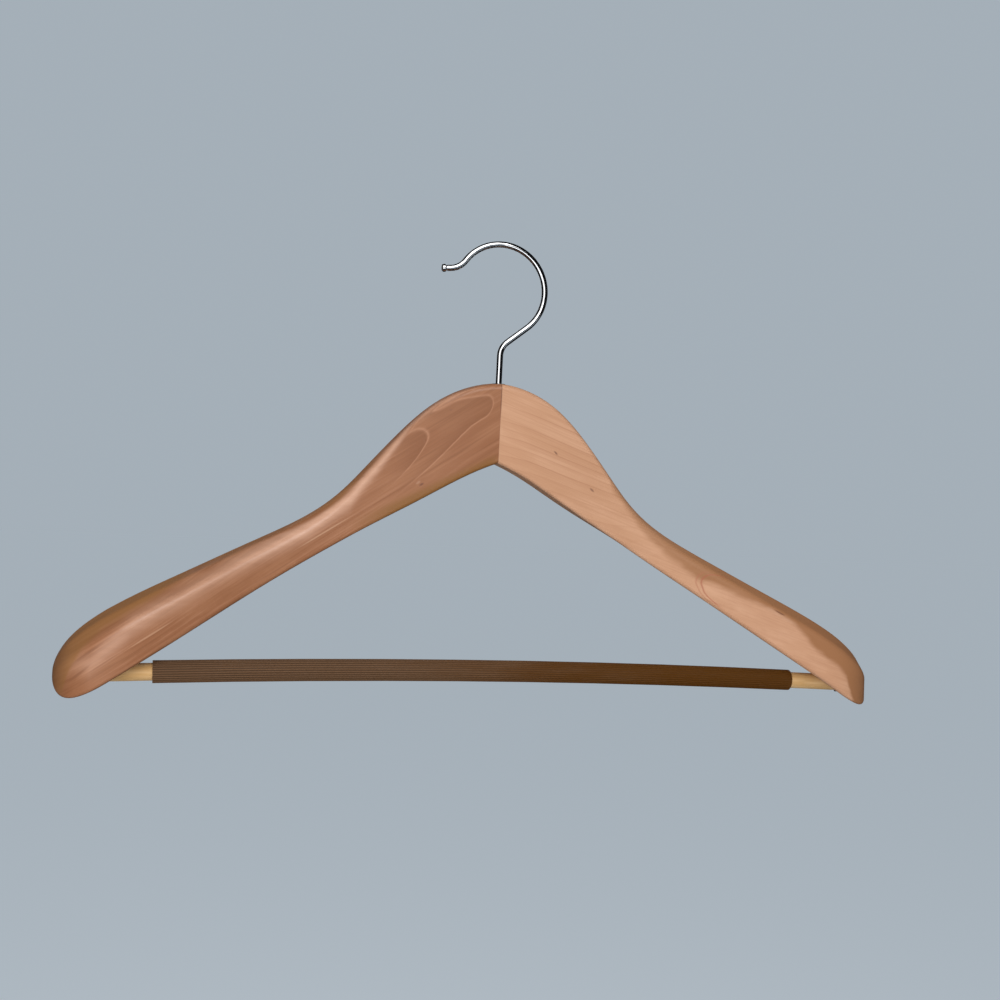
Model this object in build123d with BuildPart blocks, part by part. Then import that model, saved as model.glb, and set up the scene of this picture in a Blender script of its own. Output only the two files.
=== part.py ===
# Contoured wooden suit hanger with a swivelling wire hook and a ribbed trouser bar.
# Millimetres. +X right, +Y back, +Z up. The origin is on the hook's swivel axis, at the height
# of the loop's inner top, where the rail bears. The mitre between the arms is the plane X = 0.
import os
from math import asin, cos, radians, sin, tan

from build123d import *

# Overall form of the two wooden arms
overall_width = 450.0
arm_drop = 171.0  # crown down to the lowest edge of the tips
neck_height = 44.0  # crown down to the notch between the arms
neck_thickness = 16.0
tip_thickness = 46.5
contour_set = 9.5  # how far the tips swing forward of the hook's plane
lower_edge_radius = 2.0
neck_edge_radius = 3.0
ridge_radius = 6.0
brow_radius = 8.0
crest_radius = 6.5
back_radius = 6.0

# Wire hook
wire_diameter = 3.4
shank_rise = 15.3  # straight wire above the crown
bend_radius = 9.5
bend_turn = 51.0
throat_length = 14.0
loop_radius = 25.1
loop_turn = 196.0
flick_radius = 11.0
flick_turn = 50.0
tail_length = 1.8
knob_diameter = 4.3
knob_length = 2.4
knob_neck_length = 0.7
knob_neck_diameter = 2.6
knob_edge_radius = 0.8

# Swivel fitting inside the crown
bush_length = 12.0
bush_diameter = 7.0
barb_count = 3
barb_height = 0.3
bush_sink = 0.3
washer_diameter = 6.8
washer_thickness = 0.8
head_diameter = 6.0
head_thickness = 2.0
bore_play = 1.2  # free space under the shank's head
swivel_clearance = 0.05
head_gap = 0.1

# Dowels that hold the mitre
mitre_dowel_diameter = 6.0
mitre_dowel_length = 30.0
mitre_dowel_pitch = 10.5
mitre_dowel_offset = 0.45  # the pair above the middle of the wood between the bore and the notch
dowel_chamfer = 0.8
flute_count = 16
flute_radius = 0.35
glue_gap = 0.05

# Trouser bar
bar_diameter = 9.0
bar_lift = 11.9  # lowest edge of the tips up to the bar's axis
bar_set = 13.0  # the bar's axis forward of the hook's plane
bar_bow = 2.8  # rise of the bar's middle above its sleeve ends
bar_end_cover = 11.0  # wood left between the bar's end and the tip
sleeve_wood_gap = 4.1  # the arms' front lower edges above the sleeve at its ends
sleeve_diameter = 11.6
rib_count = 28
rib_radius = 0.42
rib_height = 0.3
sleeve_gap = 0.05

# Headless pins that lock the bar in the tips
pin_diameter = 1.4
pin_length = 14.0
pin_inset = 7.0  # bar's end back to the pin
pin_point_length = 2.0
pin_stand = 0.8  # pin below the bar's underside

cut_overrun = 5.0

# Stations along an arm, as shares of half the overall width, crowded where the tip rounds off
station_shares = (0, 0.03, 0.07, 0.13, 0.20, 0.27, 0.34, 0.42, 0.52, 0.64, 0.76, 0.86,
                  0.91, 0.945, 0.97, 0.987, 0.997, 0.9998)
# Fall of the top line, as shares of arm_drop
top_shares = (0, 0.004, 0.017, 0.053, 0.125, 0.224, 0.331, 0.427, 0.504, 0.583, 0.662, 0.731,
              0.772, 0.808, 0.842, 0.876, 0.908, 0.928)
# Fall of the underside's front edge below the notch, as shares of arm_drop - neck_height
under_shares = (0, 0.022, 0.056, 0.116, 0.190, 0.262, 0.335, 0.421, 0.529, 0.664, 0.801, 0.914,
                0.969, 0.996, 1, 0.983, 0.952, 0.930)
# Growth from neck_thickness to tip_thickness
thick_shares = (0, 0, 0, 0.01, 0.03, 0.06, 0.11, 0.20, 0.39, 0.67, 0.91, 1, 1, 1, 1, 1, 1, 1)
# Place of the middle of the thickness, behind the hook's plane, as shares of contour_set
set_shares = (0, 0.02, 0.07, 0.22, 0.43, 0.64, 0.80, 0.86, 0.70, 0.20, -0.47, -0.92, -1, -1,
              -0.95, -0.86, -0.76, -0.70)
# Height of the ridge between the front face and the top, as shares of the arm's height there
ridge_shares = (0.98, 0.98, 0.98, 0.98, 0.97, 0.94, 0.86, 0.78, 0.74, 0.72, 0.71, 0.70, 0.69,
                0.68, 0.66, 0.64, 0.62, 0.60)
# How far the section has changed from the neck's plain oblong to the arm's sloped form
form_shares = (0, 0, 0, 0.05, 0.25, 0.55, 0.85, 1, 1, 1, 1, 1, 1, 1, 1, 1, 1, 1)
tip_round_share = 0.88  # where the thickness starts to round off towards the tip
tip_round_power = 2.1
brow_set_share = 0.35  # brow of the top, ahead of the middle, as a share of half the thickness
brow_base_share = 0.5  # rise of the brow at the neck, as a share of the rise from ridge to crest
brow_lift_share = 0.28  # what the sloped form adds to it
crest_set_share = 0.5  # crest of the arm's top, behind the middle, as a share of half the thickness
back_fall_share = 0.24  # fall from the crest to the back face, as a share of the height
shoulder_fall_share = 0.015  # the same at the neck, where the top is nearly level
ridge_lean_share = 0.05  # the front face leans back by this share of half the thickness
under_rise_share = 0.2  # rise of the underside to the back, as a share of the thickness

# Sizes that follow
half_span = overall_width / 2
wire_radius = wire_diameter / 2
bar_radius = bar_diameter / 2
throat_angle = 90 - bend_turn
bend_reach = bend_radius * (1 - cos(radians(bend_turn)))
throat_end_x = bend_reach + throat_length * cos(radians(throat_angle))
bend_rise = bend_radius * sin(radians(bend_turn))
throat_end_rise = shank_rise + bend_rise + throat_length * sin(radians(throat_angle))
loop_centre_x = throat_end_x - loop_radius * sin(radians(throat_angle))
loop_centre_rise = throat_end_rise + loop_radius * cos(radians(throat_angle))
crown_z = wire_radius - loop_centre_rise - loop_radius
bush_top_z = crown_z - bush_sink
bush_bottom_z = bush_top_z - bush_length
washer_bottom_z = bush_bottom_z - washer_thickness
head_top_z = washer_bottom_z - head_gap
head_bottom_z = head_top_z - head_thickness
bore_radius = bush_diameter / 2 + barb_height + glue_gap
bore_bottom_z = head_bottom_z - bore_play
notch_z = crown_z - neck_height
dowel_pair_z = (bore_bottom_z + notch_z) / 2 + mitre_dowel_offset
upper_dowel_z = dowel_pair_z + mitre_dowel_pitch / 2
lower_dowel_z = dowel_pair_z - mitre_dowel_pitch / 2
bar_z = crown_z - arm_drop + bar_lift
bar_y = -bar_set
bar_half_length = half_span - bar_end_cover


def share_at_fall(fall):
    """Share of the half span where the underside's front edge lies that far below the crown."""
    level = (fall - neck_height) / (arm_drop - neck_height)
    index = next(i for i, under_share in enumerate(under_shares) if under_share > level)
    step = (level - under_shares[index - 1]) / (under_shares[index] - under_shares[index - 1])
    return station_shares[index - 1] + step * (station_shares[index] - station_shares[index - 1])


sleeve_end_x = half_span * share_at_fall(arm_drop - bar_lift - sleeve_diameter / 2 - sleeve_wood_gap)
bow_radius = (sleeve_end_x**2 + bar_bow**2) / (2 * bar_bow)
bow_slope = tan(asin(sleeve_end_x / bow_radius))
sleeve_core_radius = sleeve_diameter / 2 - rib_height
pin_x = bar_half_length - pin_inset
pin_bottom_z = bar_z - (pin_x - sleeve_end_x) * bow_slope - bar_radius - pin_stand
barb_pitch = bush_length / (barb_count + 1)
knob_radius = knob_diameter / 2
knob_neck_radius = knob_neck_diameter / 2


def tip_rounding(share):
    """Share of the thickness left at a station: a superellipse from the rounding's start to the tip."""
    run = max(0, (share - tip_round_share) / (1 - tip_round_share))
    return (1 - run**tip_round_power) ** (1 / tip_round_power)


def arm_section(index):
    """Corners and corner radii of the closed section at one station, in the Y-Z plane."""
    share = station_shares[index]
    form = form_shares[index]
    rounding = tip_rounding(share)
    half = (neck_thickness + (tip_thickness - neck_thickness) * thick_shares[index]) / 2 * rounding
    middle = contour_set * set_shares[index]
    top = crown_z - arm_drop * top_shares[index]
    under = crown_z - neck_height - (arm_drop - neck_height) * under_shares[index]
    height = top - under
    fall = height * (shoulder_fall_share + (back_fall_share - shoulder_fall_share) * form)
    rise = 2 * half * under_rise_share * form
    ridge = under + height * ridge_shares[index]
    brow = ridge + (top - ridge) * (brow_base_share + brow_lift_share * form)
    corners = [
        (middle - half, under),
        (middle - half * (1 - ridge_lean_share * form), ridge),
        (middle - half * brow_set_share, brow),
        (middle + half * crest_set_share * form, top),
        (middle + half, top - fall),
        (middle + half, under + rise),
    ]
    plain = (lower_edge_radius, neck_edge_radius, crest_radius,
             crest_radius, neck_edge_radius, lower_edge_radius)
    sloped = (lower_edge_radius, ridge_radius, brow_radius,
              crest_radius, back_radius, lower_edge_radius)
    slimness = min(1, height * 2 / tip_thickness) * rounding
    radii = [(a + (b - a) * form) * slimness for a, b in zip(plain, sloped)]
    return corners, radii


def bar_height(x):
    """Height of the bar's axis in its straight ends, at a distance from the middle."""
    return bar_z - (x - sleeve_end_x) * bow_slope


with BuildLine(Plane.XZ.offset(-bar_y)) as bar_path:
    left_run = Line((-bar_half_length, bar_height(bar_half_length)), (-sleeve_end_x, bar_z))
    bow = ThreePointArc(left_run @ 1, (0, bar_z + bar_bow), (sleeve_end_x, bar_z))
    right_run = Line(bow @ 1, (bar_half_length, bar_height(bar_half_length)))


# Right arm: a loft through the stations to a rounded tip, then its bores
with BuildPart() as right_arm:
    for index, share in enumerate(station_shares):
        with BuildSketch(Plane.YZ.offset(half_span * share)):
            with BuildLine():
                corners, radii = arm_section(index)
                FilletPolyline(*corners, radius=radii, close=True)
            make_face()
    loft()
    with BuildSketch(Plane.XY.offset(bore_bottom_z)):
        Circle(bore_radius)
    extrude(amount=crown_z - bore_bottom_z + cut_overrun, mode=Mode.SUBTRACT)
    with BuildSketch(Plane.YZ):
        with Locations((0, upper_dowel_z), (0, lower_dowel_z)):
            Circle(mitre_dowel_diameter / 2 + glue_gap)
    extrude(amount=mitre_dowel_length / 2 + glue_gap, mode=Mode.SUBTRACT)
    with BuildSketch(Plane(origin=right_run @ 0, z_dir=right_run % 0)):
        Circle(bar_radius + glue_gap)
    extrude(amount=right_run.length + glue_gap, mode=Mode.SUBTRACT)
    with BuildSketch(Plane.XY.offset(pin_bottom_z + pin_length + glue_gap)):
        with Locations((pin_x, bar_y)):
            Circle(pin_diameter / 2 + glue_gap)
    extrude(amount=-(pin_length + cut_overrun), mode=Mode.SUBTRACT)

# Left arm: the same piece, mirrored
with BuildPart() as left_arm:
    mirror(right_arm.part, about=Plane.YZ)


def mitre_dowel(height):
    """Fluted dowel lying across the mitre at a height, with chamfered ends."""
    with BuildPart() as dowel:
        with BuildSketch(Plane.YZ.offset(-mitre_dowel_length / 2)):
            with Locations((0, height)):
                Circle(mitre_dowel_diameter / 2)
        extrude(amount=mitre_dowel_length)
        chamfer(dowel.edges().filter_by(GeomType.CIRCLE), dowel_chamfer)
        with BuildSketch(Plane.YZ.offset(-mitre_dowel_length / 2)):
            with Locations((0, height)):
                with PolarLocations(mitre_dowel_diameter / 2, flute_count):
                    Circle(flute_radius)
        extrude(amount=mitre_dowel_length, mode=Mode.SUBTRACT)
    return dowel


mitre_dowel_upper = mitre_dowel(upper_dowel_z)
mitre_dowel_lower = mitre_dowel(lower_dowel_z)

# Hook: one wire from its head in the crown up round the loop, with a knob on the end
with BuildPart() as swivel_hook:
    with BuildLine(Plane.XZ) as wire_path:
        shank = Line((0, head_top_z), (0, crown_z + shank_rise))
        bend = JernArc(shank @ 1, shank % 1, bend_radius, -bend_turn)
        throat = PolarLine(bend @ 1, throat_length, direction=bend % 1)
        loop = JernArc(throat @ 1, throat % 1, loop_radius, loop_turn)
        flick = JernArc(loop @ 1, loop % 1, flick_radius, -flick_turn)
        tail = PolarLine(flick @ 1, tail_length, direction=flick % 1)
    with BuildSketch(Plane.XY.offset(head_top_z)):
        Circle(wire_radius)
    sweep(path=wire_path.line)
    with BuildSketch(Plane.XY.offset(head_bottom_z)):
        Circle(head_diameter / 2)
    extrude(amount=head_thickness)
    fillet(swivel_hook.edges().sort_by(Axis.Z)[0], head_thickness / 2)
    tail_end = tail @ 1
    tail_way = tail % 1
    knob_end = knob_neck_length + knob_length
    with BuildSketch(Plane(origin=tail_end, x_dir=tail_way, z_dir=(0, -1, 0))):
        with BuildLine():
            FilletPolyline((-knob_neck_length, 0), (-knob_neck_length, knob_neck_radius),
                           (knob_neck_length, knob_neck_radius), (knob_neck_length, knob_radius),
                           (knob_end, knob_radius), (knob_end, 0),
                           radius=(0, 0, 0, knob_edge_radius, knob_edge_radius, 0), close=True)
        make_face()
    revolve(axis=Axis(tail_end, tail_way))

# Bush: barbed sleeve pressed flush into the crown, in which the shank turns
with BuildPart() as hook_bush:
    with BuildSketch(Plane.XZ):
        with BuildLine():
            inner = wire_radius + swivel_clearance
            outer = bush_diameter / 2
            outline = [(inner, bush_top_z), (outer, bush_top_z)]
            for barb in range(barb_count):
                barb_z = bush_top_z - barb_pitch * (barb + 1)
                outline.append((outer, barb_z))
                outline.append((outer + barb_height, barb_z))
                outline.append((outer, barb_z - barb_pitch / 2))
            outline += [(outer, bush_bottom_z), (inner, bush_bottom_z)]
            Polyline(*outline, close=True)
        make_face()
    revolve(axis=Axis.Z)

# Washer between the shank's head and the bush
with BuildPart() as hook_washer:
    with BuildSketch(Plane.XY.offset(washer_bottom_z)):
        Circle(washer_diameter / 2)
        Circle(wire_radius + swivel_clearance, mode=Mode.SUBTRACT)
    extrude(amount=washer_thickness)

# Bar: a slightly bowed dowel, its ends in the tips' blind holes and crossed by the pins
with BuildPart() as bar_dowel:
    with BuildSketch(Plane(origin=left_run @ 0, x_dir=(0, 1, 0), z_dir=left_run % 0)):
        Circle(bar_radius)
    sweep(path=bar_path.line)
    chamfer(bar_dowel.faces().filter_by(GeomType.PLANE).edges(), dowel_chamfer)
    with BuildSketch(Plane.XY.offset(pin_bottom_z)):
        with Locations((-pin_x, bar_y), (pin_x, bar_y)):
            Circle(pin_diameter / 2 + glue_gap)
    extrude(amount=pin_length + cut_overrun, mode=Mode.SUBTRACT)

# Sleeve: ribbed tube that grips the bar
with BuildPart() as bar_sleeve:
    with BuildSketch(Plane(origin=bow @ 0, x_dir=(0, 1, 0), z_dir=bow % 0)):
        Circle(sleeve_core_radius)
        with PolarLocations(sleeve_diameter / 2 - rib_radius, rib_count):
            Circle(rib_radius)
        Circle(bar_radius + sleeve_gap, mode=Mode.SUBTRACT)
    sweep(path=bow)


def bar_pin(side):
    """Headless pin driven up through the tip and the bar's end, with its point on top."""
    with BuildPart() as pin:
        with BuildSketch(Plane.XY.offset(pin_bottom_z)):
            with Locations((side * pin_x, bar_y)):
                Circle(pin_diameter / 2)
        extrude(amount=pin_length)
        chamfer(pin.edges().sort_by(Axis.Z)[-1], pin_point_length, pin_diameter / 3)
    return pin


bar_pin_left = bar_pin(-1)
bar_pin_right = bar_pin(1)

pieces = {
    "left_arm": left_arm,
    "right_arm": right_arm,
    "mitre_dowel_upper": mitre_dowel_upper,
    "mitre_dowel_lower": mitre_dowel_lower,
    "swivel_hook": swivel_hook,
    "hook_bush": hook_bush,
    "hook_washer": hook_washer,
    "bar_dowel": bar_dowel,
    "bar_sleeve": bar_sleeve,
    "bar_pin_left": bar_pin_left,
    "bar_pin_right": bar_pin_right,
}
os.makedirs("parts", exist_ok=True)
for name, piece in pieces.items():
    piece.part.label = name
    export_step(piece.part, f"parts/{name}.step")
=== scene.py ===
import math

import bpy
from mathutils import Matrix, Vector

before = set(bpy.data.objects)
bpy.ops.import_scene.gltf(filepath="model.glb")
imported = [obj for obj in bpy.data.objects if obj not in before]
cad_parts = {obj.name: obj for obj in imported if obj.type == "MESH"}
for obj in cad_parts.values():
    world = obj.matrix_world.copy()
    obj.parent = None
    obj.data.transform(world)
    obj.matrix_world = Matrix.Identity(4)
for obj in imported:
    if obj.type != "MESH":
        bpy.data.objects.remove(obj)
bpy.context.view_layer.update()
metre = 1000.0  # the patterns below are in millimetres, the scene in metres
print("frame loaded:", len(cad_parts), "nodes")


# Shader maths: a socket that takes the usual operators, so that a mask reads as its formula
class Wire:
    def __init__(self, paint, socket):
        self.paint = paint
        self.socket = socket

    def __add__(self, other):
        return self.paint.math("ADD", self, other)

    def __radd__(self, other):
        return self.paint.math("ADD", other, self)

    def __sub__(self, other):
        return self.paint.math("SUBTRACT", self, other)

    def __rsub__(self, other):
        return self.paint.math("SUBTRACT", other, self)

    def __mul__(self, other):
        return self.paint.math("MULTIPLY", self, other)

    def __rmul__(self, other):
        return self.paint.math("MULTIPLY", other, self)

    def __truediv__(self, other):
        return self.paint.math("DIVIDE", self, other)

    def __rtruediv__(self, other):
        return self.paint.math("DIVIDE", other, self)

    def fade(self, start, end):  # smooth step: 0 at start, 1 at end, whichever of them is larger
        return self.paint.node("MapRange", {"interpolation_type": "SMOOTHSTEP"}, Value=self,
                               From_Min=start, From_Max=end)

    def bell(self, width):  # exp(-(v / width)^2): 1 at zero, gone at twice the width
        share = self / width
        return self.paint.math("EXPONENT", share * share * -1.0)

    def floor(self):
        return self.paint.math("FLOOR", self)

    def fraction(self):
        return self.paint.math("FRACT", self)

    def size(self):
        return self.paint.math("ABSOLUTE", self)

    def root(self):
        return self.paint.math("SQRT", self)


class Paint:  # one node tree, with a method that makes any node
    def __init__(self, owner):
        owner.use_nodes = True
        self.owner = owner
        self.tree = owner.node_tree
        self.tree.nodes.clear()

    # Settings come first, then the sockets: in their order, or by name with _ for a space
    def node(self, kind, settings=None, *values, output=0, **sockets):
        made = self.tree.nodes.new("ShaderNode" + kind)
        for name, value in (settings or {}).items():
            if name == "stops":
                self.setStops(made.color_ramp, value)
            else:
                setattr(made, name, value)
        for entry, value in zip(made.inputs, values):
            self.plug(entry, value)
        for name, value in sockets.items():
            label = name.replace("_", " ")
            entry = next(s for s in made.inputs if s.enabled and s.name == label)
            self.plug(entry, value)
        exits = [s for s in made.outputs if s.enabled]
        if isinstance(output, str):
            exits = [s for s in exits if s.name == output]
            output = 0
        return Wire(self, exits[output]) if exits else None

    def setStops(self, ramp, stops):  # grey (place, level) stops, the first at 0, the last at 1
        for place, level in stops[1:-1]:
            ramp.elements.new(place)
        for element, (place, level) in zip(ramp.elements, stops):
            element.color = (level, level, level, 1.0)

    def plug(self, entry, value):  # a link, a number, a vector or a colour into one socket
        if isinstance(value, Wire):
            self.tree.links.new(value.socket, entry)
        elif isinstance(value, tuple) and len(value) < len(entry.default_value):
            entry.default_value = (*value, 1.0)
        else:
            entry.default_value = value

    def math(self, operation, *values):
        return self.node("Math", {"operation": operation}, *values)

    def mix(self, share, first, second):  # the second colour over the first by a share
        return self.node("Mix", {"data_type": "RGBA"}, Factor=share, A=first, B=second)

    def layer(self, under, pattern, look, over):  # a colour where a pattern shows
        (start, full), share = look
        return self.mix(pattern.fade(start, full) * share, under, over)

    def vector(self, x, y, z):
        return self.node("CombineXYZ", X=x, Y=y, Z=z)

    def cells(self, point, cell, shift=(0.0, 0.0, 0.0)):  # the point counted in cells, and moved
        steps = [axis / size + move if move else axis / size
                 for axis, size, move in zip(point, cell, shift)]
        return self.vector(*steps)

    def noise(self, point, cell, detail=2.0, roughness=0.5, shift=(0.0, 0.0, 0.0)):  # about 0.5
        return self.node("TexNoise", Vector=self.cells(point, cell, shift), Scale=1.0,
                         Detail=detail, Roughness=roughness)

    def spots(self, point, cell, output=0):  # distance to the nearest of scattered points, in cells
        return self.node("TexVoronoi", {"feature": "F1"}, output=output,
                         Vector=self.cells(point, cell), Scale=1.0)

    def bump(self, height, strength):
        return self.node("Bump", Height=height, Strength=strength, Distance=0.0001)

    def follow(self, value, points):  # straight lines through (value, result) points, level beyond
        low, high = points[0][0], points[-1][0]
        bottom = min(result for place, result in points)
        reach = max(result for place, result in points) - bottom
        stops = [((place - low) / (high - low), (result - bottom) / reach)
                 for place, result in points]
        share = self.node("ValToRGB", {"stops": stops}, Fac=(value - low) / (high - low))
        return share * reach + bottom

    def place(self):  # the point in millimetres, as three wires
        point = self.node("TexCoord", output="Object")
        large = self.node("VectorMath", {"operation": "SCALE"}, Vector=point, Scale=metre)
        return [self.node("SeparateXYZ", output=axis, Vector=large) for axis in "XYZ"]

    def seen(self):  # 1 on rays from the camera, a mirror or glass, 0 on those that gather light
        camera, glossy, through = [self.node("LightPath", output="Is %s Ray" % ray)
                                   for ray in ("Camera", "Glossy", "Transmission")]
        return self.math("MAXIMUM", self.math("MAXIMUM", camera, glossy), through)

    def close(self, surface, kind="OutputMaterial"):  # the output, and what the tree belongs to
        self.node(kind, None, surface)
        return self.owner

    def finish(self, **values):  # the one shader of a piece
        return self.close(self.node("BsdfPrincipled", **values))


def newPaint(name):
    return Paint(bpy.data.materials.new(name))


def along(place, point, way):  # (P - point) . way, both given as plain numbers
    return sum((axis - start) * share for axis, start, share in zip(place, point, way) if share)


def away(place, at):  # distance from a point in X-Z
    dx, dz = place[0] - at[0], place[2] - at[1]
    return (dx * dx + dz * dz).root()


# Wood. The growth rings are tubes round a pith line, r = distance to that line, so that the carved
# faces cut them into the loops of flat-sawn wood. Each ring is a thin line with a tone inside it
# that fades towards the pith. Fine fibres and pores run along the pith.
leftWood = {
    "heading": 34.24, "yaw": 2.47, "side": -1, "across": 12.8, "depth": 53.2,  # the pith line
    "ringStart": 58.68, "ringStep": 1.47, "ringWarp": 0.012,
    "base": (0.277, 0.112, 0.05), "pale": (0.32, 0.138, 0.065), "dark": (0.208, 0.079, 0.032),
    "line": (0.42, 0.2, 0.11), "lineWidth": 0.5, "lineShare": 0.85, "toneShare": 0.75,
    "general": 0.08, "zone": ((-25.0, -105.0), 32.0, 0.2),  # how clear rings are, and where more so
    "bold": (-0.5, 0.8, 0.9, 46.0),  # rings that stand out: middle, spread, share and reach
    "wander": [  # where the rings leave the round: place, reach and by how much
        ((-24.0, -85.0), (15.0, 8.0), -0.6),
        ((0.5, -84.0), (6.0, 13.0), 0.62),
        ((-45.0, -101.0), (9.0, 8.0), -0.5),
    ],
    "streaks": (0.4, 0.45), "seed": 3.0,  # shares of long pale and long dark streaks
}
rightWood = {
    "heading": 18.8, "yaw": 7.97, "side": 1, "across": -45.3, "depth": -31.7,
    "ringStart": 32.1, "ringStep": 3.28, "ringWarp": 0.4,
    "base": (0.53, 0.285, 0.165), "pale": (0.59, 0.33, 0.2), "dark": (0.43, 0.21, 0.115),
    "line": (0.33, 0.14, 0.07), "lineWidth": 0.19, "lineShare": 0.45, "toneShare": 0.4,
    "general": 0.10, "zone": ((40.0, -118.0), 48.0, 1.0),
    "bold": (0.0, 1.0, 0.0, 46.0),
    "wander": [],
    "streaks": (0.2, 0.3), "seed": 11.0,
}
armGrain = {  # cell along, across and into the wood, which of the three the seed moves, the noise
    "bend": ((70.0, 16.0, 16.0), 0, 2.0, 0.5),
    "bendDeep": ((60.0, 14.0, 14.0), 1, 2.0, 0.5),
    "patch": ((45.0, 9.0, 9.0), 2, 3.0, 0.5),
    "long": ((80.0, 1.4, 14.0), 0, 2.0, 0.55),
    "streak": ((24.0, 0.55, 4.0), 2, 4.0, 0.62),
    "fibre": ((6.0, 0.16, 0.8), 0, 2.0, 0.5),
}
# What both arms have. A pattern's look is where it starts and is full, and its share. The long
# streaks take theirs from the arm.
armFinish = {
    "pithX": 60.0, "pithZ": -110.0,  # the pith line passes here, before across and depth
    "bendReach": 6.0, "slopeLeast": 0.003,
    "ringSpread": 0.8, "ringLeast": 0.35, "boldFull": 0.55, "toneLead": 0.02,
    "patch": ((0.35, 0.68), 1.0), "longPale": (0.52, 0.68), "longDark": (0.46, 0.32),
    "streak": ((0.42, 0.75), 0.28), "fibre": ((0.5, 0.8), 0.10), "zoneCalm": 0.7,
    "poreCell": (2.4, 0.42, 0.42), "poreSize": (0.24, 0.1), "poreShare": 0.22,
    "seamColour": (0.13, 0.055, 0.03), "seamWidth": 0.3, "seamClear": (-98.0, -84.0),
    "seamMore": 0.6, "seamLeast": 0.14,
    "roughness": 0.38, "patchRough": 0.16, "streakRough": 0.1, "poreRough": 0.1, "dullRough": 0.25,
    "fibreHeight": 0.15, "streakHeight": 0.5, "poreDepth": 0.4, "lineDepth": 0.15, "bump": 0.13,
    "coat": 0.2, "coatRoughness": 0.28,
}


def grainNoise(paint, point, seed, look):
    cell, seeded, detail, roughness = look
    shift = [seed if axis == seeded else 0.0 for axis in range(3)]
    return paint.noise(point, cell, detail, roughness, shift)


def pithFrame(place, look, finish):  # along the pith, across it and into the depth, in mm
    heading, yaw, side = math.radians(look["heading"]), math.radians(look["yaw"]), look["side"]
    way = (side * math.cos(heading) * math.cos(yaw), math.sin(yaw),
           -math.sin(heading) * math.cos(yaw))
    flat = math.hypot(way[0], way[2])
    across = (-way[2] / flat, 0.0, way[0] / flat)
    third = tuple(Vector(way).cross(Vector(across)))
    start = (side * finish["pithX"] + across[0] * look["across"], look["depth"],
             finish["pithZ"] + across[2] * look["across"])
    return [along(place, start, axis) for axis in (way, across, third)]


def armWood(name, look, finish, marks):
    paint = newPaint(name)
    place = paint.place()
    x, z = place[0], place[2]
    wood = pithFrame(place, look, finish)
    across, deep = wood[1:]
    bend, bendDeep, patch, long, streak, fibre = [
        grainNoise(paint, wood, look["seed"], armGrain[kind])
        for kind in ("bend", "bendDeep", "patch", "long", "streak", "fibre")]
    pores = paint.spots(wood, finish["poreCell"]).fade(*finish["poreSize"])

    warp = look["ringWarp"] * finish["bendReach"]
    across = across + (bend - 0.5) * warp
    deep = deep + (bendDeep - 0.5) * warp
    r = (across * across + deep * deep).root()
    for (placeX, placeZ), (reachX, reachZ), amount in look["wander"]:
        r = r + (x - placeX).bell(reachX) * (z - placeZ).bell(reachZ) * amount
    phase = (r - look["ringStart"]) / look["ringStep"]
    ring = (phase + 0.5).floor()
    offset = phase - ring  # -0.5 to 0.5 from the ring's line
    chance = paint.node("TexWhiteNoise", {"noise_dimensions": "1D"}, W=ring + look["seed"])

    zoneAt, zoneReach, zoneShare = look["zone"]
    far = away(place, zoneAt)
    zone = far.bell(zoneReach)
    middle, spread, boldShare, boldReach = look["bold"]
    bold = (ring - middle).bell(spread) * boldShare
    bold = bold * far.fade(boldReach, boldReach * finish["boldFull"])
    clear = zone * zoneShare + look["general"]
    clear = clear * (chance * finish["ringSpread"] + finish["ringLeast"]) + bold
    # how fast r grows over the face, which keeps a line's width even
    slope = (across * across / (r * r) + finish["slopeLeast"]).root()
    line = (offset * look["ringStep"] / slope).bell(look["lineWidth"]) * clear
    inside = (phase + finish["toneLead"]).fraction()
    tone = inside * inside * clear

    palest, darkest = look["streaks"]
    calm = 1.0 - zone * finish["zoneCalm"]
    colour = paint.layer(look["base"], patch, finish["patch"], look["pale"])
    colour = paint.mix(long.fade(*finish["longPale"]) * palest * calm, colour, look["line"])
    colour = paint.layer(colour, long, (finish["longDark"], darkest), look["dark"])
    colour = paint.mix(tone * look["toneShare"], colour, look["dark"])
    colour = paint.mix(line * look["lineShare"], colour, look["line"])
    colour = paint.layer(colour, streak, finish["streak"], look["dark"])
    colour = paint.layer(colour, fibre, finish["fibre"], look["pale"])
    colour = paint.mix(pores * finish["poreShare"], colour, look["dark"])
    dull = 0.0  # where the clear lacquer is missing
    for mark in marks:
        share = mark["paint"](paint, place, mark, r)
        colour = paint.mix(share * mark["share"], colour, mark["colour"])
        if "dull" in mark:
            dull = share * mark["dull"] + dull
    clearSeam = z.fade(*finish["seamClear"]) * finish["seamMore"] + finish["seamLeast"]
    colour = paint.mix(x.size().bell(finish["seamWidth"]) * clearSeam, colour, finish["seamColour"])

    rough = finish["roughness"] + (patch - 0.5) * finish["patchRough"]
    rough = rough + (streak - 0.5) * finish["streakRough"] + pores * finish["poreRough"]
    rough = rough + dull * finish["dullRough"]
    height = fibre * finish["fibreHeight"] + streak * finish["streakHeight"]
    height = height - pores * finish["poreDepth"] - line * finish["lineDepth"]
    coat = (1.0 - dull) * finish["coat"]
    return paint.finish(Base_Color=colour, Roughness=rough,
                        Normal=paint.bump(height, finish["bump"]),
                        Coat_Weight=coat, Coat_Roughness=finish["coatRoughness"])


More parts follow.
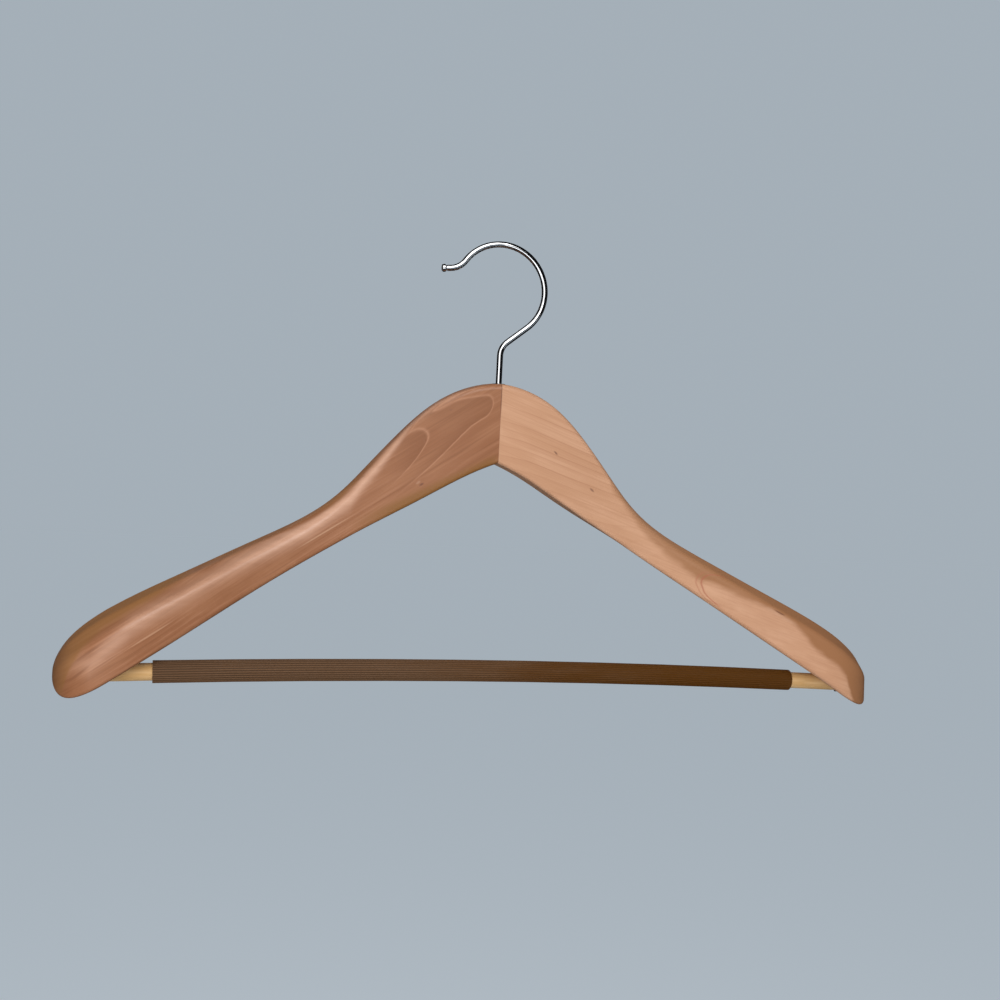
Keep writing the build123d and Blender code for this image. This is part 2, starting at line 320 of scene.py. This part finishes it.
# Marks on the wood, placed in X-Z in mm. Each painter gives a share from 0 to 1, which the mark's
# own share scales. depthEnd: the Y where a mark on the front face goes, and where it is full.
depthEnd = {"fleck": (2.0, -1.0), "band": (6.0, 2.0), "beside": (3.0, -1.0), "arc": (-3.0, -6.0)}
core = {"fleck": 0.35, "band": 0.35, "bandStart": 0.3, "arc": 0.6}  # the full part of a soft edge
waves = {"aboveCell": (14.0, 5.0, 20.0), "besideCell": (30.0, 2.5, 20.0),  # on X, Z and Y
         "besideSpread": 0.6, "besideLeast": 0.7}


def fleck(paint, place, mark, r):  # an ellipse, half sizes along and across its turn, soft edge
    x, y, z = place
    turn = math.radians(mark["turn"])
    a = (x - mark["at"][0]) * math.cos(turn) + (z - mark["at"][1]) * math.sin(turn)
    b = (z - mark["at"][1]) * math.cos(turn) - (x - mark["at"][0]) * math.sin(turn)
    a, b = a / mark["size"][0], b / mark["size"][1]
    return (a * a + b * b).root().fade(1.0, core["fleck"]) * y.fade(*depthEnd["fleck"])


def band(paint, place, mark, r):  # a strip on one side of a line between two ends, soft all round
    x, y, z = place
    (x0, z0), (x1, z1) = mark["ends"]
    length = math.hypot(x1 - x0, z1 - z0)
    ux, uz = (x1 - x0) / length, (z1 - z0) / length
    a = (x - x0) * ux + (z - z0) * uz
    b = ((z - z0) * ux - (x - x0) * uz) * mark["above"]
    width, soft, start = mark["width"], mark["soft"], mark["soft"] * core["bandStart"]
    ends = a.fade(-start, start) * a.fade(length + soft, length - soft)
    return b.fade(width, width * core["band"]) * ends * y.fade(*depthEnd["band"])


def above(paint, place, mark, r):  # all that lies above an edge, a share for each X
    x, y, z = place
    wave = paint.noise((x, z, y), waves["aboveCell"], detail=3.0) - 0.5
    over = z - paint.follow(x, mark["edge"]) + wave * mark["wave"]
    return over.fade(*mark["soft"]) * paint.follow(x, mark["shares"])


def beside(paint, place, mark, r):  # a soft strip along a line, a half width and a share for each X
    x, y, z = place
    wave = paint.noise((x, z, y), waves["besideCell"], detail=3.0)
    off = (z - paint.follow(x, mark["line"])) / paint.follow(x, mark["widths"])
    strip = off.bell(1.0) * paint.follow(x, mark["shares"])
    strip = strip * (wave * waves["besideSpread"] + waves["besideLeast"])
    return strip * y.fade(*depthEnd["beside"])


def arc(paint, place, mark, r):  # one growth ring of a given radius, clear round one place
    near = away(place, mark["at"]).fade(mark["reach"], mark["reach"] * core["arc"])
    return (r - mark["radius"]).bell(mark["width"]) * near * place[1].fade(*depthEnd["arc"])


def tip(paint, place, mark, r):  # a share growing outwards from one |X| to another; used for painted shade at the rounded ends
    return place[0].size().fade(*mark["from"])


def fleckAt(at, size, turn, share, colour):
    return {"paint": fleck, "at": at, "size": size, "turn": turn, "share": share, "colour": colour}


leftMarks = [
    # painted highlight: the ridge of the carving painted paler where the light catches it
    {"paint": beside, "share": 0.72, "colour": (0.66, 0.395, 0.275),
     "line": ((-206.0, -228.0), (-199.3, -221.0), (-187.1, -209.2), (-173.7, -200.3),
              (-163.3, -194.9), (-142.0, -181.0), (-119.1, -168.5), (-100.2, -158.0),
              (-78.7, -141.5), (-72.8, -132.9), (-65.4, -124.0), (-58.7, -114.8),
              (-47.7, -99.7), (-41.1, -93.9), (-34.2, -88.0), (-27.2, -84.0),
              (-18.3, -79.5), (-9.3, -77.2)),
     "widths": ((-206.0, 5.5), (-150.0, 5.0), (-100.0, 5.5), (-78.0, 5.2), (-60.0, 3.4),
                (-48.0, 1.8), (-20.0, 1.0)),
     "shares": ((-222.0, 0.0), (-206.0, 0.45), (-190.0, 0.65), (-150.0, 0.52), (-120.0, 0.8),
                (-95.0, 1.0), (-75.0, 0.95), (-58.0, 0.8), (-45.0, 0.55), (-25.0, 0.45),
                (-8.0, 0.0))},
    # painted shade: the top, darker where it turns away from the light, and duller
    {"paint": above, "share": 0.85, "dull": 1.0, "colour": (0.27, 0.12, 0.035), "wave": 3.0,
     "soft": (-1.5, 3.5),
     "edge": ((-219.0, -243.0), (-216.0, -232.5), (-210.4, -221.5), (-202.4, -212.7),
              (-191.7, -205.4), (-173.9, -193.9), (-157.2, -182.3), (-141.9, -175.0),
              (-125.4, -166.5), (-104.3, -155.6), (-83.9, -143.0), (-68.2, -124.0),
              (-50.0, -98.0)),
     "shares": ((-224.0, 0.8), (-170.0, 1.0), (-110.0, 0.9), (-80.0, 0.7), (-56.0, 0.3),
                (-48.0, 0.0))},
    # long streaks: place, half length and width, turn in degrees, share, colour
    fleckAt((-208.0, -223.0), (11.0, 1.0), 38.0, 0.45, (0.17, 0.065, 0.03)),
    fleckAt((-211.5, -233.0), (9.0, 0.9), 42.0, 0.4, (0.17, 0.065, 0.03)),
    fleckAt((-201.0, -228.0), (12.0, 0.6), 36.0, 0.35, (0.19, 0.075, 0.035)),
    fleckAt((-178.0, -213.0), (16.0, 0.6), 33.0, 0.5, (0.5, 0.28, 0.17)),
    fleckAt((-92.0, -160.0), (22.0, 0.6), 33.0, 0.5, (0.55, 0.32, 0.2)),
    fleckAt((-118.0, -181.5), (24.0, 0.5), 32.0, 0.35, (0.19, 0.075, 0.035)),
    # painted shade: the rounded tip, darker where it turns away from the light
    {"paint": tip, "share": 0.55, "colour": (0.2, 0.085, 0.035), "from": (214.0, 224.0)},
    # small flecks in the neck
    fleckAt((-41.2, -131.9), (1.9, 0.8), 35.0, 0.85, (0.16, 0.06, 0.035)),
    fleckAt((-43.0, -131.0), (2.0, 0.9), 40.0, 0.3, (0.56, 0.33, 0.22)),
    fleckAt((-27.3, -91.0), (1.2, 0.8), 20.0, 0.5, (0.22, 0.09, 0.05)),
    # painted shade: the olive band along the neck's lower edge, where the rounded edge turns away
    # from the light
    {"paint": band, "ends": ((0.0, -119.0), (-66.0, -153.5)), "above": -1.0, "width": 7.5,
     "soft": 18.0, "share": 0.9, "colour": (0.225, 0.098, 0.026)},
]
rightMarks = [
    # painted shade: the dark orange top, darker where it turns away from the light, and duller
    {"paint": above, "share": 0.95, "dull": 1.0, "colour": (0.27, 0.112, 0.038), "wave": 5.0,
     "soft": (-2.4, 3.6),
     "edge": ((62.0, -108.0), (68.0, -129.7), (79.0, -142.7), (88.3, -153.4), (101.2, -164.9),
              (119.6, -177.6), (135.3, -183.0), (148.8, -189.4), (163.3, -194.6),
              (172.8, -201.4), (184.9, -214.8), (197.6, -223.4), (203.5, -230.4),
              (207.0, -240.0), (212.0, -252.0)),
     "shares": ((58.0, 0.0), (66.0, 0.4), (88.0, 0.55), (110.0, 0.72), (130.0, 0.88),
                (170.0, 1.0), (224.0, 1.0))},
    # painted shade: the rounded tip, darker where it turns away from the light
    {"paint": tip, "share": 0.4, "colour": (0.17, 0.075, 0.035), "from": (214.0, 224.0)},
    # a mild darkening of the arm from X 110 outwards
    {"paint": tip, "share": 0.2, "colour": (0.4, 0.19, 0.1), "from": (110.0, 150.0)},
    # two clear rings at the middle of the arm
    {"paint": arc, "radius": 11.45, "width": 0.26, "at": (126.0, -181.0), "reach": 16.0,
     "share": 0.75, "colour": (0.36, 0.115, 0.06)},
    {"paint": arc, "radius": 12.75, "width": 0.22, "at": (122.0, -183.0), "reach": 13.0,
     "share": 0.55, "colour": (0.38, 0.14, 0.075)},
    # flecks in the neck, and a small knot in the arm
    fleckAt((33.1, -110.9), (2.0, 0.7), -42.0, 0.8, (0.2, 0.1, 0.06)),
    fleckAt((55.9, -130.3), (2.2, 0.8), -38.0, 0.75, (0.22, 0.11, 0.07)),
    fleckAt((164.6, -194.3), (4.2, 0.7), -28.0, 0.8, (0.16, 0.06, 0.025)),
]


dowelLook = {
    "base": (0.53, 0.31, 0.12), "pale": (0.66, 0.435, 0.22), "dark": (0.42, 0.23, 0.08),
    "streakCell": (26.0, 0.7, 0.7), "fibreCell": (4.0, 0.12, 0.12), "patchCell": (30.0, 5.0, 5.0),
    "patch": ((0.3, 0.7), 1.0), "streak": ((0.45, 0.75), 0.55), "fibre": ((0.5, 0.8), 0.25),
    "poreCell": (1.8, 0.3, 0.3), "poreSize": (0.22, 0.08), "poreShare": 0.35,
    "roughness": 0.5, "streakRough": 0.2,
    "fibreHeight": 0.6, "streakHeight": 0.5, "poreDepth": 0.5, "bump": 0.35,
}


def dowelWood(look):  # straight grain along X: streaks 40 times as long as they are wide
    paint = newPaint("dowelWood")
    place = paint.place()
    streak = paint.noise(place, look["streakCell"], detail=4.0, roughness=0.6)
    fibre = paint.noise(place, look["fibreCell"])
    patch = paint.noise(place, look["patchCell"])
    pores = paint.spots(place, look["poreCell"]).fade(*look["poreSize"])
    colour = paint.layer(look["base"], patch, look["patch"], look["pale"])
    colour = paint.layer(colour, streak, look["streak"], look["dark"])
    colour = paint.layer(colour, fibre, look["fibre"], look["pale"])
    colour = paint.mix(pores * look["poreShare"], colour, look["dark"])
    rough = look["roughness"] + (streak - 0.5) * look["streakRough"]
    height = fibre * look["fibreHeight"] + streak * look["streakHeight"] - pores * look["poreDepth"]
    return paint.finish(Base_Color=colour, Roughness=rough, Normal=paint.bump(height, look["bump"]))


sleeveLook = {
    "left": (0.128, 0.065, 0.03), "right": (0.088, 0.03, 0.001),
    # valley: the colour of the painted shade between the ribs
    "valley": (0.04, 0.022, 0.012), "scuff": (0.2, 0.14, 0.09),
    "barY": -13.0, "endZ": -233.5, "bow": 2.8, "endX": 176.4,  # the bar's bowed axis
    "crest": (5.78, 5.5),  # radius where the ribs' crests end and where the valleys are full
    "hazeCell": (40.0, 7.0, 7.0), "speckCell": (0.5, 0.5, 0.5), "scuffCell": (9.0, 0.3, 0.3),
    "turnX": (-60.0, 90.0), "turnWave": 160.0,  # where the left colour becomes the right one
    "valleyX": (120.0, -120.0), "valleyMore": 0.5, "valleyLeast": 0.15,
    "scuffed": ((0.55, 0.85), 0.3),
    "roughness": 0.46, "hazeRough": 0.25, "speckRough": 0.12, "valleyRough": 0.15, "specular": 0.3,
    "speckHeight": 0.5, "scuffHeight": 0.4, "bump": 0.25,
}


def sleevePlastic(look):  # r = distance from the bar's axis; the ribs' crests keep the colour, the valleys between them get painted shade
    paint = newPaint("sleevePlastic")
    place = paint.place()
    x, y, z = place
    share = x / look["endX"]
    axisZ = (1.0 - share * share) * look["bow"] + look["endZ"]
    up = z - axisZ
    out = y - look["barY"]
    r = (up * up + out * out).root()
    valley = r.fade(*look["crest"])
    haze = paint.noise(place, look["hazeCell"], detail=3.0)
    speck = paint.noise(place, look["speckCell"], detail=3.0)
    scuff = paint.noise(place, look["scuffCell"], detail=4.0, roughness=0.7)
    turn = (x + (haze - 0.5) * look["turnWave"]).fade(*look["turnX"])
    # painted shade in the valleys between the ribs, more on the left
    dark = valley * x.fade(*look["valleyX"]) * look["valleyMore"] + valley * look["valleyLeast"]
    colour = paint.mix(turn, look["left"], look["right"])
    colour = paint.mix(dark, colour, look["valley"])
    colour = paint.layer(colour, scuff, look["scuffed"], look["scuff"])
    rough = look["roughness"] + (haze - 0.5) * look["hazeRough"]
    rough = rough + (speck - 0.5) * look["speckRough"] + valley * look["valleyRough"]
    height = speck * look["speckHeight"] + scuff * look["scuffHeight"]
    return paint.finish(Base_Color=colour, Roughness=rough, Normal=paint.bump(height, look["bump"]),
                        Specular_IOR_Level=look["specular"])


chromeLook = {
    "clear": (0.90, 0.905, 0.915), "hazy": (0.85, 0.86, 0.875), "haze": (0.35, 0.7),
    "hazeCell": (6.0, 6.0, 6.0), "hairCell": (0.25, 0.25, 3.0), "hair": (0.62, 0.8),
    "roughness": 0.03, "hazeRough": 0.04, "hairRough": 0.04, "bump": 0.008,
}


def hookChrome(look):  # polished plating with a faint haze and hairline scratches
    paint = newPaint("hookChrome")
    place = paint.place()
    haze = paint.noise(place, look["hazeCell"], detail=3.0)
    hair = paint.noise(place, look["hairCell"], detail=4.0, roughness=0.7)
    colour = paint.mix(haze.fade(*look["haze"]), look["clear"], look["hazy"])
    rough = look["roughness"] + haze * look["hazeRough"]
    rough = rough + hair.fade(*look["hair"]) * look["hairRough"]
    return paint.finish(Base_Color=colour, Metallic=1.0, Roughness=rough,
                        Normal=paint.bump(haze, look["bump"]))


steelLook = {
    "dark": (0.46, 0.46, 0.45), "pale": (0.58, 0.585, 0.59), "grain": (0.34, 0.335, 0.32),
    "blotchCell": (1.6, 1.6, 1.6), "grainCell": (0.2, 0.2, 0.2), "grained": ((0.45, 0.8), 0.35),
    "roughness": 0.34, "grainRough": 0.2, "bump": 0.2,
}


def zincSteel(look):  # dull zinc plating: crystalline blotches and fine grain
    paint = newPaint("zincSteel")
    place = paint.place()
    blotch = paint.spots(place, look["blotchCell"], output="Color")
    grain = paint.noise(place, look["grainCell"], detail=3.0)
    colour = paint.mix(paint.node("SeparateXYZ", Vector=blotch), look["dark"], look["pale"])
    colour = paint.layer(colour, grain, look["grained"], look["grain"])
    rough = look["roughness"] + grain * look["grainRough"]
    return paint.finish(Base_Color=colour, Metallic=1.0, Roughness=rough,
                        Normal=paint.bump(grain, look["bump"]))


dowelPaint = dowelWood(dowelLook)
steelPaint = zincSteel(steelLook)
finishes = {
    "left_arm": armWood("leftArmWood", leftWood, armFinish, leftMarks),
    "right_arm": armWood("rightArmWood", rightWood, armFinish, rightMarks),
    "swivel_hook": hookChrome(chromeLook),
    "bar_dowel": dowelPaint,
    "mitre_dowel_upper": dowelPaint,
    "mitre_dowel_lower": dowelPaint,
    "bar_sleeve": sleevePlastic(sleeveLook),
    "hook_bush": steelPaint,
    "hook_washer": steelPaint,
    "bar_pin_left": steelPaint,
    "bar_pin_right": steelPaint,
}
for name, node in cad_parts.items():
    for slot in node.material_slots:
        slot.material = finishes[name]
print("finishes:", len(set(finishes.values())), "materials on", len(finishes), "pieces")


cameraShot = {  # fitted to the photograph: place in mm, focal length and frame in pixels, radians
    "place": (-174.968, -692.486, -133.819), "focalPixels": 1299.484, "framePixels": 1000.0,
    "sensor": 36.0, "yaw": 0.252974, "pitch": -0.006275, "roll": 0.049547,
}


def makeCamera(shot):  # ahead from yaw and pitch, then side and above turned about it by roll
    yaw, pitch, roll = shot["yaw"], shot["pitch"], shot["roll"]
    ahead = Vector((math.sin(yaw) * math.cos(pitch), math.cos(yaw) * math.cos(pitch),
                    math.sin(pitch)))
    side = Vector((math.cos(yaw), -math.sin(yaw), 0.0))
    above = side.cross(ahead)
    right = side * math.cos(roll) + above * math.sin(roll)
    up = above * math.cos(roll) - side * math.sin(roll)
    data = bpy.data.cameras.new("camera")
    data.sensor_fit = "HORIZONTAL"
    data.sensor_width = shot["sensor"]
    data.lens = shot["focalPixels"] / shot["framePixels"] * shot["sensor"]
    camera = bpy.data.objects.new("camera", data)
    turn = Matrix((right, up, -ahead)).transposed().to_4x4()
    camera.matrix_world = Matrix.Translation(Vector(shot["place"]) / metre) @ turn
    bpy.context.scene.collection.objects.link(camera)
    bpy.context.scene.camera = camera


makeCamera(cameraShot)
print("camera set")

lamps = {  # place, side of the square, power, whether it shows in gloss, the one piece it lights
    "front": ((-0.5, -1.4, -0.15), 1.2, 19.0, False, None),
    "sheen": ((0.05, -1.3, 0.68), 0.8, 7.0, True, None),
    "over": ((0.0, 0.2, 1.35), 1.2, 9.0, False, None),
    "back": ((0.3, 1.5, 0.3), 1.0, 9.0, False, None),
    "wire": ((-0.55, -1.6, -0.1), 2.2, 22.0, True, "swivel_hook"),  # the chrome's white middle
    "wireOver": ((-0.36, -1.17, 1.3), 1.3, 7.7, True, "swivel_hook"),
    "wireBack": ((0.5, 2.6, 0.1), 1.3, 3.5, True, "swivel_hook"),
}
studio = {
    "aim": (0.0, 0.0, -0.13),
    "air": (0.27, 0.285, 0.30),  # light from all round
    "backdrop": (0.375, 0.43, 0.48),  # what the camera and gloss see behind the object
    "floorHeight": -1.5, "floorReach": 30.0, "floorColour": (0.7, 0.72, 0.74),
}
cards = {  # seen only in gloss: black ones draw the chrome's dark edges, a grey one closes the back
    "reach": 1.9, "front": -1.75, "back": 3.2, "low": -0.45,
    "underFront": -0.7, "greyLow": -0.15,
    "black": (0.008, 0.008, 0.009), "blackRoughness": 0.9, "grey": (0.1, 0.1, 0.1),
}


def areaLight(name, aim, place, size, power, inGloss, only):
    data = bpy.data.lights.new(name, "AREA")
    data.size = size
    data.energy = power
    lamp = bpy.data.objects.new(name, data)
    lamp.location = place
    lamp.rotation_euler = (Vector(aim) - Vector(place)).to_track_quat("-Z", "Y").to_euler()
    lamp.visible_camera = False
    lamp.visible_glossy = inGloss
    if only:  # light linking: this lamp reaches one piece alone
        reached = bpy.data.collections.new(name + "Reach")
        reached.objects.link(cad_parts[only])
        lamp.light_linking.receiver_collection = reached
    bpy.context.scene.collection.objects.link(lamp)


for lampName, values in lamps.items():
    areaLight(lampName, studio["aim"], *values)


def makeWorld(look):  # the air lights the object, and the backdrop is what the camera and gloss see
    world = bpy.data.worlds.new("studio")
    bpy.context.scene.world = world
    paint = Paint(world)
    air = paint.node("Background", Color=look["air"])
    backdrop = paint.node("Background", Color=look["backdrop"])
    paint.close(paint.node("MixShader", None, paint.seen(), air, backdrop), "OutputWorld")


def panel(name, corners, material):  # one flat card through four corners
    mesh = bpy.data.meshes.new(name)
    mesh.from_pydata(corners, [], [(0, 1, 2, 3)])
    card = bpy.data.objects.new(name, mesh)
    mesh.materials.append(material)
    bpy.context.scene.collection.objects.link(card)
    return card


def makeFloor(look):  # matt paper that takes the shadow, and has the backdrop's colour far away
    paint = newPaint("floorPaper")
    paper = paint.node("BsdfDiffuse", Color=look["floorColour"])
    lift = tuple(seen - light * share for seen, light, share
                 in zip(look["backdrop"], look["air"], look["floorColour"]))
    lifted = paint.node("AddShader", None, paper, paint.node("Emission", Color=lift))
    paint.close(paint.node("MixShader", None, paint.seen(), paper, lifted))
    reach, height = look["floorReach"], look["floorHeight"]
    corners = [(-reach, -reach, height), (reach, -reach, height), (reach, reach, height),
               (-reach, reach, height)]
    panel("floor", corners, paint.owner)


def glossCard(name, corners, material):  # a card that the camera and other light don't meet
    card = panel(name, corners, material)
    card.visible_camera = False
    card.visible_diffuse = False
    card.visible_shadow = False
    card.visible_transmission = False


def wall(look, y, low):  # corners of an upright card across the view
    reach = look["reach"]
    return [(-reach, y, low), (reach, y, low), (reach, y, reach), (-reach, y, reach)]


def makeCards(look):
    black = newPaint("blackCard").finish(Base_Color=look["black"], Roughness=look["blackRoughness"])
    paint = newPaint("greyCard")
    grey = paint.close(paint.node("Emission", Color=look["grey"]))
    reach, front, back, low = look["reach"], look["front"], look["back"], look["low"]
    edges = {  # two corners in X-Z, and where the card starts in Y
        "left": ((-reach, low), (-reach, reach), front),
        "right": ((reach, low), (reach, reach), front),
        "over": ((-reach, reach), (reach, reach), front),
        "under": ((-reach, low), (reach, low), look["underFront"]),
    }
    for name, ((x0, z0), (x1, z1), start) in edges.items():
        corners = [(x0, start, z0), (x1, start, z1), (x1, back, z1), (x0, back, z0)]
        glossCard(name + "Card", corners, black)
    glossCard("frontCard", wall(look, front, low), black)
    glossCard("backCard", wall(look, back, look["greyLow"]), grey)


makeWorld(studio)
makeFloor(studio)
makeCards(cards)
bpy.context.scene.view_settings.view_transform = "Standard"
print("stage set")
